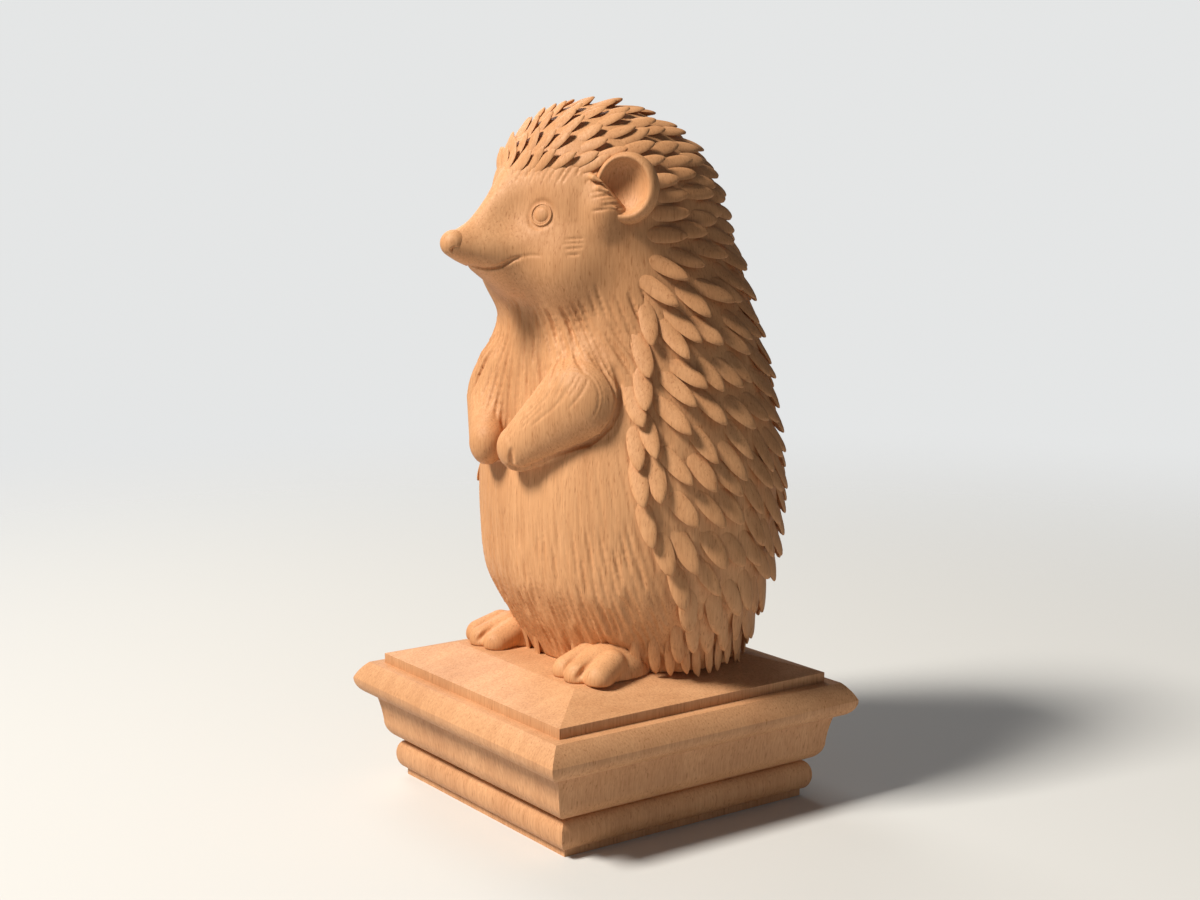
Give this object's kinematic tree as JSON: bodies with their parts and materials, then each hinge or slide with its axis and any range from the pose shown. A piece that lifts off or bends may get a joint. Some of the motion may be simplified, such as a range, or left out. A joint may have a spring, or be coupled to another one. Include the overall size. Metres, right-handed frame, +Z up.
{
  "type": "carved hedgehog post cap figurine",
  "caption": "Upright carved wooden hedgehog with a quill coat, standing on a square moulded plinth that caps a post or rests on a shelf.",
  "frame": {"origin": "middle of the plinth's underside", "axes": "+Z up, the hedgehog faces -Y, its own left side is +X"},
  "size_m": [0.1152, 0.1152, 0.2175],
  "materials": {
    "carved_wood": "fine sanded, satin oil",
    "plinth_wood": "planed and sanded, satin oil",
    "dowel_wood": "plain turned dowel"
  },
  "bodies": {
    "root": {"base_moulding": "plinth_wood", "cove_block": "plinth_wood", "nosing_board": "plinth_wood", "cap_board": "plinth_wood", "torso_block": "carved_wood", "back_block": "carved_wood", "head_block": "carved_wood", "nose": "carved_wood", "left_eye": "carved_wood", "right_eye": "carved_wood", "left_ear": "carved_wood", "right_ear": "carved_wood", "left_arm": "carved_wood", "right_arm": "carved_wood", "left_foot": "carved_wood", "right_foot": "carved_wood", "plinth_dowels": "dowel_wood", "figure_dowels": "dowel_wood", "neck_dowel": "dowel_wood", "arm_dowels": "dowel_wood", "foot_dowels": "dowel_wood"}
  },
  "joints": []
}
